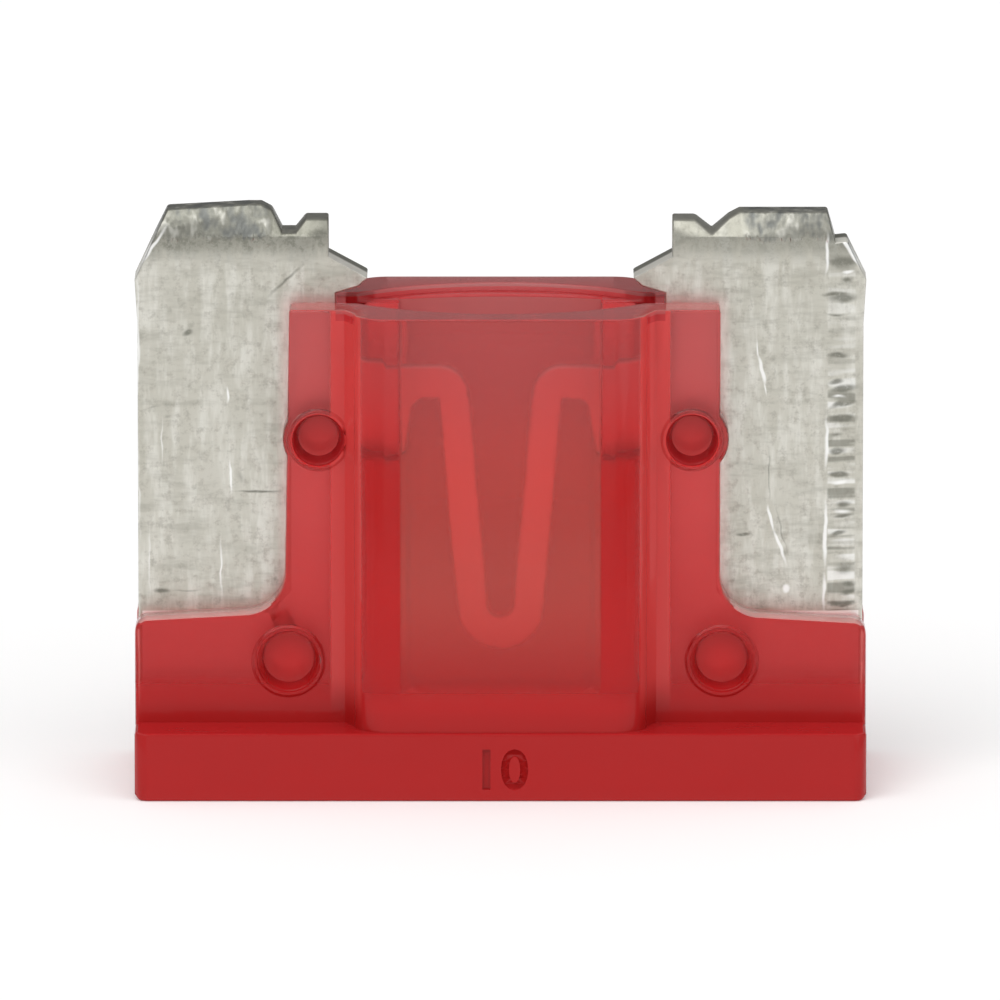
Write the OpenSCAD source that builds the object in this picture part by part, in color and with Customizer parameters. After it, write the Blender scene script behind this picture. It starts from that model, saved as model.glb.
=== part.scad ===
// Low-profile mini blade fuse, standing on the end face of its head with the blades up.
// One moulded housing and one stamped fuse element. Millimetres.
// The origin is the centre of the head's end face, +X runs across both blades, +Z towards their tips.

/* [Head] */
// Width of the head, and of the whole fuse over its blades
head_w = 10.9; // [10.6:0.1:12]
// Depth of the head, front to back
head_d = 3.81; // [3.7:0.01:4.4]
// Height of the head, from its end face to the ledge
head_h = 1.03; // [0.8:0.01:1.2]
// Radius of the head's four upright corners
head_corner_r = 0.2; // [0.1:0.05:0.5]
// Radius of the head's lower corners at both ends
head_foot_r = 0.12; // [0.05:0.01:0.3]

/* [Body] */
// Depth of the body over its two cheeks
body_d = 2.1; // [1.8:0.05:2.4]
// Height of the body, from the end face to the open mouth
body_h = 7.28; // [6.9:0.01:7.8]
// Height of the two shoulders that stop the fuse in its holder
shoulder_h = 2.63; // [2.5:0.01:2.9]
// Fall of each shoulder towards its outer end
shoulder_drop = 0.08; // [0.02:0.01:0.15]
// How much higher the left shoulder stands than the right
left_shoulder_rise = 0.04; // [0.01:0.01:0.1]
// Radius of each shoulder's outer corner
shoulder_corner_r = 0.2; // [0.05:0.05:0.3]
// How far the upper body covers each blade, past the blade's inner edge
waist_cover = 0.82; // [0.75:0.01:1]
// How much less of the left blade the upper body covers
left_waist_trim = 0.06; // [0.01:0.01:0.1]
// Lean of the upper body's left side, over its height above the inside corner
left_waist_lean = 0.07; // [0.01:0.01:0.1]
// Radius of the inside corner between shoulder and upper body
waist_fillet_r = 0.62; // [0.3:0.02:0.9]

/* [Centre box] */
// Width of the raised box over the fuse link
box_w = 4.36; // [4.1:0.02:4.6]
// Depth of the raised box, front to back
box_d = 3.66; // [3.2:0.02:3.7]
// Radius of the box's four upright corners
box_corner_r = 0.5; // [0.2:0.05:0.55]
// How far the box's sides flare out where they meet the body
box_flare = 0.14; // [0.05:0.01:0.2]

/* [Link chamber] */
// Width of the air space round the fuse link
chamber_w = 3.0; // [2.8:0.05:3.2]
// Depth of the air space at its middle
chamber_d = 1.94; // [1.6:0.02:2.2]
// Bow of the chamber's front and back walls
chamber_bow = 0.23; // [0.1:0.01:0.3]
// Thickness of plastic between the head's ledge and the chamber's floor
chamber_floor_t = 0.29; // [0.2:0.01:0.5]
// Radius of the chamber's lower corners
chamber_corner_r = 0.3; // [0.1:0.05:0.5]
// Width of the lens-shaped recess round the open mouth
mouth_w = 4.92; // [4.6:0.02:5.1]
// Depth of the recess, front to back
mouth_d = 2.6; // [2.5:0.02:3]
// Depth of the recess at its two pointed ends
mouth_end_d = 0.06; // [0.02:0.02:0.4]
// How far the recess is sunk below the body's end
mouth_sink = 0.12; // [0.05:0.01:0.3]

/* [Blades] */
// Thickness of the stamped metal
blade_t = 0.8; // [0.6:0.02:0.9]
// Width of each blade inside the housing
blade_w = 3.0; // [2.8:0.02:3.1]
// How far the blades' outer edges sit inside the head's ends
edge_inset = 0.04; // [0.02:0.01:0.08]
// Height over which each coined outer corner spreads back out to the head's width
corner_spread_h = 0.65; // [0.3:0.05:1]
// Step from the covered inner edge out to the bare tab's inner edge
tab_step = 0.11; // [0.05:0.01:0.25]
// How far the blades reach past the housing's open end
tab_reach = 1.45; // [1.3:0.01:2]
// How much lower the right blade's tip was sheared
right_tip_drop = 0.11; // [0:0.01:0.2]
// Height of each blade's root above the head's ledge
root_rise = 0.12; // [0.1:0.01:0.3]
// Width of the outer corner's chamfer
tip_chamfer_w = 0.49; // [0.2:0.01:0.7]
// Height of the outer corner's chamfer
tip_chamfer_h = 1.12; // [0.6:0.02:1.2]
// Depth of the notch in the left blade's end
notch_h = 0.41; // [0.3:0.01:0.5]
// How much shallower the right blade's notch is
right_notch_lift = 0.1; // [0.02:0.01:0.15]
// Width of the notch at its mouth
notch_w = 0.5; // [0.4:0.02:0.7]
// Width of the nub between the notch and the inner edge
nub_w = 0.34; // [0.2:0.02:0.5]
// How far the nub stands above the notch
nub_h = 0.2; // [0.1:0.01:0.25]
// Thickness that the coined tips taper to
tip_t = 0.4; // [0.3:0.02:0.5]
// Height of the coined taper
tip_coin_h = 0.48; // [0.3:0.02:0.6]
// Width of the coined strip down the right blade's outer edge
edge_coin_w = 0.55; // [0.3:0.05:0.8]
// Depth of the coined strip at that edge, on each face
edge_coin_t = 0.05; // [0.02:0.01:0.1]
// How far the sheared tie stub reaches in from the blade's inner edge
stub_reach = 0.48; // [0.2:0.01:0.6]
// Height of the stub's lower edge above the housing's end
stub_rise = 0.14; // [0.05:0.01:0.3]

/* [Fuse link] */
// Width of the link strip
link_w = 0.47; // [0.3:0.01:0.55]
// Thickness of the link strip
link_t = 0.25; // [0.15:0.01:0.4]
// Depth of the link's legs below the housing's open end
leg_drop = 1.22; // [1:0.01:1.5]
// Radius of the bend at the foot of the link
foot_bend_r = 0.45; // [0.35:0.01:0.6]
// Air left between the foot bend and the chamber's floor
foot_gap = 0.69; // [0.3:0.01:0.9]
// Straight length of each leg before it widens
leg_l = 0.2; // [0.05:0.01:0.25]
// Distance of each knee, where a limb turns into its leg, from the middle
knee_x = 0.98; // [0.9:0.01:1]
// Radius of the knees
knee_r = 0.25; // [0.24:0.01:0.3]
// Width of the ramp from link thickness up to blade thickness
ramp_w = 0.25; // [0.1:0.05:0.4]

/* [Stakes] */
// How far to the right of their true places the stakes were punched
punch_shift = 0.07; // [0.01:0.01:0.1]
// Distance of the upper stakes from the blade's inner edge
upper_stake_inset = 0.33; // [0.31:0.01:0.45]
// Depth of the upper stakes below the link's legs
upper_stake_drop = 0.74; // [0.65:0.01:0.85]
// Radius of the upper stakes' dimples
upper_dimple_r = 0.38; // [0.3:0.01:0.45]
// Radius of the plastic pins through the blades at the upper stakes
upper_pin_r = 0.26; // [0.15:0.01:0.28]
// Distance of the lower stakes from the blade's inner edge
lower_stake_inset = 0.78; // [0.6:0.01:1]
// Height of the lower stakes above the head's ledge
lower_stake_rise = 0.93; // [0.8:0.01:1]
// Radius of the lower stakes' dimples
lower_dimple_r = 0.46; // [0.3:0.01:0.5]
// Radius of the plastic pins through the blades at the lower stakes
lower_pin_r = 0.36; // [0.2:0.01:0.4]
// Depth of every dimple
dimple_h = 0.32; // [0.1:0.01:0.4]
// Height of the raised rim round every dimple
dimple_rim_h = 0.03; // [0.02:0.01:0.06]
// Radius of the body's swelling at the upper left stake
left_swell_r = 0.53; // [0.5:0.01:0.7]
// Radius of the body's swelling at the upper right stake
right_swell_r = 0.55; // [0.5:0.01:0.75]

/* [Probe openings] */
// Width of each opening in the head's end face for a test probe
probe_w = 1.1; // [0.8:0.05:1.6]
// Depth of each opening, front to back
probe_d = 0.7; // [0.5:0.05:1]
// Corner radius of each opening
probe_corner_r = 0.15; // [0.05:0.01:0.2]

/* [Fits] */
// Air between the metal and each wall of its slot
slot_gap = 0.03; // [0.01:0.01:0.06]
// Air between each plastic pin and the hole through the blade
pin_gap = 0.02; // [0.01:0.01:0.04]

/* [Hidden] */
$fn = 64;

// Overlap of joined or cut shapes, so that no two faces only touch
lap = 0.05;
// Overlap of a straight stretch of the link with the bend that it runs on from
seam_lap = 0.02;

head_half = head_w / 2;
blade_inner = head_half - blade_w;
blade_outer = head_half - edge_inset;
blade_mid = head_half - blade_w / 2;
tab_inner = blade_inner + tab_step;
waist_half = blade_inner + waist_cover;
left_waist_half = waist_half - left_waist_trim;
chamber_half = chamber_w / 2;
chamber_z = head_h + chamber_floor_t;
root_z = head_h + root_rise;
tip_z = body_h + tab_reach;

fillet_r = min(waist_fillet_r, head_half - waist_half - shoulder_corner_r - lap);
shoulder_end_z = shoulder_h - shoulder_drop;
left_shoulder_z = shoulder_h + left_shoulder_rise;
left_shoulder_end_z = left_shoulder_z - shoulder_drop;
lean_start_z = left_shoulder_z + fillet_r;
box_flare_d = box_d / 2 - box_corner_r;

slot_d = blade_t + 2 * slot_gap;
slot_inner = blade_inner - slot_gap;

upper_stake = [blade_inner + upper_stake_inset, body_h - leg_drop - upper_stake_drop];
lower_stake = [blade_inner + lower_stake_inset, head_h + lower_stake_rise];

// Link centreline, right half: foot bend, knee and leg, and the limb as the tangent between the bends
leg_z = body_h - leg_drop;
foot_z = chamber_z + foot_gap + link_w / 2 + foot_bend_r;
knee_rise = leg_z - knee_r - foot_z;
bend_distance = norm([knee_x, knee_rise]);
limb_lean = atan2(knee_x, knee_rise) - asin((foot_bend_r + knee_r) / bend_distance);
limb_foot = [foot_bend_r * cos(limb_lean), foot_z - foot_bend_r * sin(limb_lean)];
limb_l = sqrt(bend_distance * bend_distance - (foot_bend_r + knee_r) * (foot_bend_r + knee_r));

// Sheared ends of the blades: each rise is above the housing's end, each drop below the tip's top
crown_in = 1.7;
shear_drop = 0.09;
shear_round = 0.16;
left_notch_floor = 0.2;
right_notch_floor = 0.02;
stub_shoulder_rise = 0.69;
stub_point_rise = 0.37;
stub_lip = [0.14, 0.1];

// Upper end of each outer chamfer, from the tip's top down: inset from the head's end, and drop.
// The right one has a step where it was sheared twice.
left_corner = [[tip_chamfer_w, 0.07]];
right_corner = [[tip_chamfer_w + 0.09, 0], [tip_chamfer_w - 0.03, 0.44], [tip_chamfer_w - 0.2, 0.42]];

// Wall taper of a dimple, and width of the raised rim round it
dimple_taper = 0.08;
dimple_rim_w = 0.06;

// Underside of the flare that carries each leg into its blade
flare_start_x = knee_x + leg_l;
flare_arch_r = 0.22;
flare_wall_drop = 1.04;
flare_end_drop = 1.34;
flare_wall_z = leg_z - flare_wall_drop;
flare_end_z = leg_z - flare_end_drop;
flare_top_r = 0.35;

module mirror_x() {
    children();
    mirror([1, 0, 0]) children();
}

module mirror_y() {
    children();
    mirror([0, 1, 0]) children();
}

// Carries a front-view outline, x across and z up, through a depth about the middle plane
module through(depth) {
    rotate([90, 0, 0]) linear_extrude(height = depth, center = true) children();
}

// Turns a shape that grows along +z so that it grows towards the back, from the depth y
module from_front(y) {
    translate([0, y, 0]) rotate([-90, 0, 0]) children();
}

// Puts a shape at the left and the right stake, at x, z as punched
module at_stakes(at) {
    for (side = [-1, 1]) translate([side * at[0] + punch_shift, 0, at[1]]) children();
}

module rounded_rect(w, d, r) {
    square([w - 2 * r, d], center = true);
    square([w, d - 2 * r], center = true);
    for (x = [-1, 1], y = [-1, 1]) translate([x * (w / 2 - r), y * (d / 2 - r)]) circle(r);
}

// What is removed to round an outer corner that points to +x and +y, with its point at the origin
module corner_cut(r) {
    difference() {
        translate([-r, -r]) square(r + lap);
        translate([-r, -r]) circle(r);
    }
}

// What is added to fill an inside corner that opens to +x and +y, with its point at the origin
module corner_fill(r) {
    difference() {
        translate([-lap, -lap]) square(r + lap);
        translate([r, r]) circle(r);
    }
}

// A slot in plan with straight ends and walls bowed outwards by bow at the middle
module bowed_slot(w, d, bow) {
    bow_r = (w * w / 4 + bow * bow) / (2 * bow);
    intersection() {
        square([w, d], center = true);
        translate([0, d / 2 - bow_r]) circle(bow_r, $fn = 180);
        translate([0, bow_r - d / 2]) circle(bow_r, $fn = 180);
    }
}

module head_block() {
    intersection() {
        linear_extrude(height = head_h) rounded_rect(head_w, head_d, head_corner_r);
        through(head_d + 1) difference() {
            translate([-head_half, 0]) square([head_w, head_h]);
            mirror_x() translate([head_half, 0]) mirror([0, 1]) corner_cut(head_foot_r);
        }
    }
}

// Front view of the two cheeks: shoulders, inside fillets, upper body and the swellings at the stakes
module body_outline() {
    difference() {
        union() {
            polygon([
                [-head_half, head_h - lap], [head_half, head_h - lap],
                [head_half, shoulder_end_z], [head_half - shoulder_corner_r, shoulder_end_z],
                [waist_half + fillet_r, shoulder_h], [0, shoulder_h],
                [0, left_shoulder_z], [-left_waist_half - fillet_r, left_shoulder_z],
                [-head_half + shoulder_corner_r, left_shoulder_end_z], [-head_half, left_shoulder_end_z]
            ]);
            polygon([
                [-left_waist_half, head_h], [waist_half, head_h], [waist_half, body_h],
                [-left_waist_half + left_waist_lean, body_h], [-left_waist_half, lean_start_z]
            ]);
        }
        translate([head_half, shoulder_end_z]) corner_cut(shoulder_corner_r);
        mirror([1, 0]) translate([head_half, left_shoulder_end_z]) corner_cut(shoulder_corner_r);
    }
    translate([waist_half, shoulder_h]) corner_fill(fillet_r);
    mirror([1, 0]) translate([left_waist_half, left_shoulder_z]) corner_fill(fillet_r);
    translate([punch_shift - upper_stake[0], upper_stake[1]]) circle(left_swell_r);
    translate([punch_shift + upper_stake[0], upper_stake[1]]) circle(right_swell_r);
}

// Plan of the raised box: rounded corners, and sides that flare out to the cheeks
module box_plan() {
    rounded_rect(box_w, box_d, box_corner_r);
    mirror_x() mirror_y() polygon([
        [0, 0], [box_w / 2 + box_flare, 0], [box_w / 2 + box_flare, body_d / 2],
        [box_w / 2, box_flare_d], [0, box_flare_d]
    ]);
}

module stake_rims(at, r) {
    at_stakes(at) mirror_y() from_front(-body_d / 2 - dimple_rim_h)
        cylinder(h = dimple_rim_h + lap, r1 = r + dimple_rim_w, r2 = r + dimple_rim_w + dimple_rim_h + lap);
}

module stake_dimples(at, r) {
    at_stakes(at) mirror_y() {
        from_front(-body_d / 2) cylinder(h = dimple_h, r1 = r, r2 = r - dimple_taper);
        from_front(-body_d / 2 - dimple_rim_h - lap) cylinder(h = dimple_rim_h + 2 * lap, r = r);
    }
}

module stake_pins(at, r) {
    at_stakes(at) from_front(-slot_d / 2 - lap) cylinder(h = slot_d + 2 * lap, r = r);
}

module link_chamber() {
    intersection() {
        translate([0, 0, chamber_z - lap]) linear_extrude(height = body_h)
            bowed_slot(chamber_w, chamber_d, chamber_bow);
        through(chamber_d + 1) difference() {
            translate([-chamber_half, chamber_z]) square([chamber_w, body_h]);
            mirror_x() translate([chamber_half, chamber_z]) mirror([0, 1]) corner_cut(chamber_corner_r);
        }
    }
}

module mouth_recess() {
    translate([0, 0, body_h - mouth_sink]) linear_extrude(height = mouth_sink + lap)
        bowed_slot(mouth_w, mouth_d, (mouth_d - mouth_end_d) / 2);
}

// Pocket for one blade and its leg, open towards the mouth and at the blade's outer edge
module blade_slot_outline() {
    polygon([
        [chamber_half - lap, flare_wall_z - slot_gap], [slot_inner, flare_end_z - slot_gap],
        [slot_inner, root_z], [head_half + lap, root_z],
        [head_half + lap, body_h + lap], [chamber_half - lap, body_h + lap]
    ]);
}

module probe_openings() {
    mirror_x() translate([blade_mid, 0, -lap]) linear_extrude(height = root_z + 2 * lap)
        rounded_rect(probe_w, probe_d, probe_corner_r);
}

module housing() {
    color([0.72, 0.13, 0.13, 0.9]) difference() {
        union() {
            difference() {
                union() {
                    head_block();
                    through(body_d) body_outline();
                    linear_extrude(height = body_h) box_plan();
                    stake_rims(upper_stake, upper_dimple_r);
                    stake_rims(lower_stake, lower_dimple_r);
                }
                link_chamber();
                mouth_recess();
                mirror_x() through(slot_d) blade_slot_outline();
            }
            stake_pins(upper_stake, upper_pin_r);
            stake_pins(lower_stake, lower_pin_r);
        }
        stake_dimples(upper_stake, upper_dimple_r);
        stake_dimples(lower_stake, lower_dimple_r);
        probe_openings();
    }
}

// Front view of one blade, drawn on the right: top is its highest point, corner the upper end of its
// outer chamfer, and the notch is notch_h deep with a flat of notch_floor
module blade_outline(top, corner, notch_h, notch_floor) {
    nub_end = tab_inner + nub_w;
    notch_mid = nub_end + notch_w / 2;
    notch_z = top - notch_h;
    nub_z = notch_z + nub_h;
    chamfer_z = tip_z - tip_chamfer_h;
    polygon(concat(
        [[blade_inner, root_z], [blade_outer, root_z], [blade_outer, chamfer_z - corner_spread_h],
         [head_half, chamfer_z]],
        [for (i = [len(corner) - 1:-1:0]) [head_half - corner[i][0], top - corner[i][1]]],
        [[head_half - crown_in, top], [nub_end + notch_w + shear_round, top],
         [nub_end + notch_w, top - shear_drop],
         [notch_mid + notch_floor / 2, notch_z], [notch_mid - notch_floor / 2, notch_z],
         [nub_end, nub_z], [tab_inner, nub_z],
         [tab_inner, body_h + stub_shoulder_rise], [blade_inner - stub_reach, body_h + stub_point_rise],
         [blade_inner - stub_reach + stub_lip[0], body_h + stub_rise + stub_lip[1]],
         [blade_inner, body_h + stub_rise]]
    ));
}

// Side view of the wedge that the tips are coined to: below the coined taper it is wider than the metal
module coin_wedge() {
    wide = blade_t - tip_t / 2;
    polygon([
        [-wide, 0], [wide, 0], [wide, tip_z - 2 * tip_coin_h], [tip_t / 2, tip_z],
        [-tip_t / 2, tip_z], [-wide, tip_z - 2 * tip_coin_h]
    ]);
}

// Plan of the stamping over both blades, thinner at the right blade's coined edge
module gauge_plan() {
    polygon([
        [-head_half - lap, -blade_t / 2], [head_half - edge_coin_w, -blade_t / 2],
        [head_half, edge_coin_t - blade_t / 2], [head_half, blade_t / 2 - edge_coin_t],
        [head_half - edge_coin_w, blade_t / 2], [-head_half - lap, blade_t / 2]
    ]);
}

// A bend of the link strip, centred on the origin, from angle a0 to a1
module strip_bend(r, a0, a1) {
    rotate([90, 0, 0]) rotate(a0) rotate_extrude(angle = a1 - a0)
        translate([r - link_w / 2, -link_t / 2]) square([link_w, link_t]);
}

// The leg's wider end, with the arched underside that clears the limb
module flare_outline() {
    arch = [flare_start_x, leg_z - link_w / 2 - flare_arch_r];
    polygon(concat(
        [[flare_start_x, leg_z]],
        [for (a = [90:-15:15]) arch + flare_arch_r * [cos(a), sin(a)]],
        [[chamber_half, flare_wall_z], [blade_inner, flare_end_z],
         [blade_inner + lap, flare_end_z], [blade_inner + lap, leg_z + link_w / 2 + flare_top_r]],
        [for (a = [0:-15:-90]) [blade_inner - flare_top_r, leg_z + link_w / 2 + flare_top_r]
            + flare_top_r * [cos(a), sin(a)]],
        [[flare_start_x, leg_z + link_w / 2]]
    ));
}

module limb() {
    translate([limb_foot[0], 0, limb_foot[1]]) rotate([0, limb_lean, 0])
        translate([-link_w / 2, -link_t / 2, -seam_lap]) cube([link_w, link_t, limb_l + 2 * seam_lap]);
}

module link() {
    translate([0, 0, foot_z]) strip_bend(foot_bend_r, 180 + limb_lean, 360 - limb_lean);
    mirror_x() {
        limb();
        translate([knee_x, 0, leg_z - knee_r]) strip_bend(knee_r, 90, 180 - limb_lean);
        through(link_t) {
            translate([knee_x, leg_z - link_w / 2]) square([flare_start_x - knee_x + lap, link_w]);
            flare_outline();
        }
        intersection() {
            through(2 * blade_t) flare_outline();
            linear_extrude(height = tip_z) polygon([
                [blade_inner + lap, -blade_t / 2], [blade_inner + lap, blade_t / 2],
                [blade_inner, blade_t / 2], [blade_inner - ramp_w, link_t / 2],
                [blade_inner - ramp_w, -link_t / 2], [blade_inner, -blade_t / 2]
            ]);
        }
    }
}

module stake_holes(at, r) {
    at_stakes(at) from_front(-blade_t) cylinder(h = 2 * blade_t, r = r + pin_gap);
}

module fuse_element() {
    color([0.79, 0.78, 0.74]) difference() {
        union() {
            intersection() {
                through(2 * blade_t) {
                    mirror([1, 0]) blade_outline(tip_z, left_corner, notch_h, left_notch_floor);
                    blade_outline(tip_z - right_tip_drop, right_corner, notch_h - right_notch_lift,
                        right_notch_floor);
                }
                linear_extrude(height = tip_z + lap) gauge_plan();
                rotate([90, 0, 90]) linear_extrude(height = head_w + 2 * lap, center = true) coin_wedge();
            }
            link();
        }
        stake_holes(upper_stake, upper_pin_r);
        stake_holes(lower_stake, lower_pin_r);
    }
}

housing();
fuse_element();
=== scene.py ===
# %% [markdown]
# # A red blade fuse
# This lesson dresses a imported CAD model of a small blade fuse: a translucent red housing with a stamped
# metal element in it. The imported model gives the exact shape. Blender rounds its edges, gives it plastic
# and metal, and lights it.

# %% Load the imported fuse
import math
import bpy
import bmesh
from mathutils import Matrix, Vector


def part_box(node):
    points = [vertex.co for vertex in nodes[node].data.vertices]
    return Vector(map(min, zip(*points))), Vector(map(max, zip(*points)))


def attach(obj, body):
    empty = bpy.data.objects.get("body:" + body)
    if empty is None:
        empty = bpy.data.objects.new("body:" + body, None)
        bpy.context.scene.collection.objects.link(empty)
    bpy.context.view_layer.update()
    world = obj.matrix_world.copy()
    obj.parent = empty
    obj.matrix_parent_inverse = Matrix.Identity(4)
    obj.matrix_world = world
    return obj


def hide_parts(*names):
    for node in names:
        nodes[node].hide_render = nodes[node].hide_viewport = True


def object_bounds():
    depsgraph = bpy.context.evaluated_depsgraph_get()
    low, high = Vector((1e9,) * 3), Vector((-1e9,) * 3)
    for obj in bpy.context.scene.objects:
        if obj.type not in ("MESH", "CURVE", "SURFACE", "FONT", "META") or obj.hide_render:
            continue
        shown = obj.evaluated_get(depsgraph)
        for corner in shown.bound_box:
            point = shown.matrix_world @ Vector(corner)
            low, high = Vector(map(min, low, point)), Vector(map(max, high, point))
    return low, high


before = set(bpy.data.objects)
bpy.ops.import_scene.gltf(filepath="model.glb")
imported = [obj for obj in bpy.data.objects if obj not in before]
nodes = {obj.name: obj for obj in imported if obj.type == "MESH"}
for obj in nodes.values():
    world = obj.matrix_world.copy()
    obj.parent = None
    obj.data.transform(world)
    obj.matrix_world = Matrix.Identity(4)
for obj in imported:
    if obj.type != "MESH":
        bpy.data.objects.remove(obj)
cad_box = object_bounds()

MM = 0.001
print("packed nodes:", sorted(nodes))

# %% [markdown]
# The fuse stands on its head, and the camera looks down on it by 11 degrees from straight ahead. Its
# uprights don't lean together at all, as in a close-up through a macro lens from far away. A parallel
# camera would do too, but a very long lens is nearer to how such a picture is taken.

# %% Camera
ELEVATION = math.radians(11.0)
AIM = Vector((-0.007, 0.0, 4.206)) * MM
LENS, SENSOR = 600.0, 36.0
FRAME_WIDTH = 14.95 * MM
CLIP_START, CLIP_END = 1 * MM, 1.0


def look_along(thing, back):
    """Turns a camera or lamp so that it looks from the side that back points to."""
    thing.rotation_mode = "QUATERNION"
    thing.rotation_quaternion = (-back).to_track_quat("-Z", "Y")


def make_camera():
    data = bpy.data.cameras.new("camera")
    data.lens, data.sensor_width = LENS, SENSOR
    data.clip_start, data.clip_end = CLIP_START, CLIP_END
    camera = bpy.data.objects.new("camera", data)
    bpy.context.scene.collection.objects.link(camera)
    back = Vector((0, -math.cos(ELEVATION), math.sin(ELEVATION)))
    camera.location = AIM + back * FRAME_WIDTH * LENS / SENSOR
    look_along(camera, back)
    bpy.context.scene.camera = camera
    return camera


camera = make_camera()
print("camera at", [round(v / MM, 1) for v in camera.location], "mm")

# %% [markdown]
# The picture has the plain light of a white tent that is open at the rear: the world is pale overhead and
# in front, and dim low down behind the fuse, which keeps its glossy rims red. Two large soft suns from the
# upper left and right give the faces slightly different tones. Area lamps could do the same, but a sun has
# no distance, so it suits a tiny object.

# %% World and lamps
bpy.context.scene.view_settings.view_transform = "Standard"
TENT_STRENGTH, REAR_STRENGTH = 0.66, 0.20
# The tent gets dimmer as a direction sinks through the first pair and turns rearwards through the second
SINKING, REARWARD = (0.75, 0.25), (0.1, 0.5)
# Name, azimuth, elevation, strength and angular size of each sun
SUNS = (("key", -28, 48, 1.1, 50), ("fill", 38, 35, 0.5, 60))
SUN_DISTANCE = 0.1


def make_world():
    world = bpy.data.worlds.new("tent")
    world.use_nodes = True
    tree = world.node_tree
    way = tree.nodes.new("ShaderNodeSeparateXYZ")
    tree.links.new(tree.nodes.new("ShaderNodeTexCoord").outputs["Generated"], way.inputs[0])
    dim = tree.nodes.new("ShaderNodeMath")
    dim.operation = "MULTIPLY"
    for slot, axis, (start, end) in ((0, "Z", SINKING), (1, "Y", REARWARD)):
        fade = tree.nodes.new("ShaderNodeMapRange")
        fade.interpolation_type = "SMOOTHSTEP"
        tree.links.new(way.outputs[axis], fade.inputs["Value"])
        fade.inputs["From Min"].default_value, fade.inputs["From Max"].default_value = start, end
        tree.links.new(fade.outputs["Result"], dim.inputs[slot])
    strength = tree.nodes.new("ShaderNodeMapRange")
    strength.inputs["To Min"].default_value = TENT_STRENGTH
    strength.inputs["To Max"].default_value = REAR_STRENGTH
    tree.links.new(dim.outputs[0], strength.inputs["Value"])
    tree.links.new(strength.outputs["Result"], tree.nodes["Background"].inputs["Strength"])
    tree.nodes["Background"].inputs["Color"].default_value = (1, 1, 1, 1)
    bpy.context.scene.world = world


def make_sun(name, azimuth, elevation, strength, angle):
    data = bpy.data.lights.new(name, "SUN")
    data.energy, data.angle = strength, math.radians(angle)
    sun = bpy.data.objects.new(name, data)
    bpy.context.scene.collection.objects.link(sun)
    a, e = math.radians(azimuth), math.radians(elevation)
    back = Vector((math.sin(a) * math.cos(e), -math.cos(a) * math.cos(e), math.sin(e)))
    sun.location = back * SUN_DISTANCE
    look_along(sun, back)


make_world()
for sun in SUNS:
    make_sun(*sun)
print("suns:", [s[0] for s in SUNS])

# %% [markdown]
# The floor is a sheet of white paper, big enough that the camera sees nothing else. More light would make
# it white too, but would bleach the fuse. Its own faint glow lifts the lit paper to full white instead, and
# the soft shadow under the fuse stays.

# %% Floor
FLOOR_HALF = 0.6
PAPER_COLOUR, PAPER_ROUGHNESS, PAPER_GLOW = (0.95, 0.95, 0.95, 1), 0.9, 0.12


def make_floor():
    mesh = bpy.data.meshes.new("floor")
    bm = bmesh.new()
    bmesh.ops.create_grid(bm, x_segments=1, y_segments=1, size=FLOOR_HALF)
    bm.to_mesh(mesh)
    bm.free()
    paper = bpy.data.materials.new("paper")
    paper.use_nodes = True
    shader = paper.node_tree.nodes["Principled BSDF"]
    shader.inputs["Base Color"].default_value = PAPER_COLOUR
    shader.inputs["Roughness"].default_value = PAPER_ROUGHNESS
    shader.inputs["Specular IOR Level"].default_value = 0.0
    shader.inputs["Emission Color"].default_value = (1, 1, 1, 1)
    shader.inputs["Emission Strength"].default_value = PAPER_GLOW
    mesh.materials.append(paper)
    floor = bpy.data.objects.new("floor", mesh)
    bpy.context.scene.collection.objects.link(floor)
    print("floor is", 2 * FLOOR_HALF, "m wide")


make_floor()

# %% [markdown]
# No moulded or stamped edge is perfectly sharp: each one catches a thin line of light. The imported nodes
# have sharp edges. A Bevel modifier would stumble over their loose triangles, so each node is copied, its
# triangles are merged, flat ones are joined into whole faces, and every outward edge gets a small bevel of
# two steps. A last clamp keeps each copy inside its node's box.

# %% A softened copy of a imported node
WELD, FLAT, SHARP = 0.0001 * MM, math.radians(0.5), math.radians(30)
MOULDED_EDGE, STAMPED_EDGE = 0.05 * MM, 0.03 * MM


def softened(node_name, piece_name, radius):
    bm = bmesh.new()
    bm.from_mesh(nodes[node_name].data)
    bmesh.ops.remove_doubles(bm, verts=bm.verts, dist=WELD)
    bmesh.ops.dissolve_limit(bm, angle_limit=FLAT, verts=bm.verts, edges=bm.edges)
    outward = [e for e in bm.edges if e.is_convex and e.calc_face_angle() > SHARP]
    bmesh.ops.bevel(bm, geom=outward, offset=radius, offset_type="OFFSET", segments=2, profile=0.5,
                    affect="EDGES", material=-1, clamp_overlap=False)
    low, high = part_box(node_name)
    for v in bm.verts:
        v.co = [min(max(c, a), b) for c, a, b in zip(v.co, low, high)]
    mesh = bpy.data.meshes.new(piece_name)
    bm.to_mesh(mesh)
    bm.free()
    piece = bpy.data.objects.new(piece_name, mesh)
    bpy.context.scene.collection.objects.link(piece)
    print(piece_name, "has", len(outward), "softened edges and", len(mesh.polygons), "faces")
    return piece


def shade(piece):
    """Smooth shading that still breaks at sharp edges and leaves flat faces flat."""
    piece.data.polygons.foreach_set("use_smooth", [True] * len(piece.data.polygons))
    piece.data.set_sharp_from_angle(angle=SHARP)
    weighted = piece.modifiers.new("weighted_normals", "WEIGHTED_NORMAL")
    weighted.keep_sharp = True


shell = softened("housing", "red_housing", MOULDED_EDGE)
stamping = softened("fuse_element", "zinc_stamping", STAMPED_EDGE)

# %% [markdown]
# A rating is pressed into the front of the head. Bump alone would leave the mesh smooth, so it is real
# geometry: a text object is made into a mesh, stood up against the head's front, and cut out of the housing
# with a Boolean.

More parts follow.
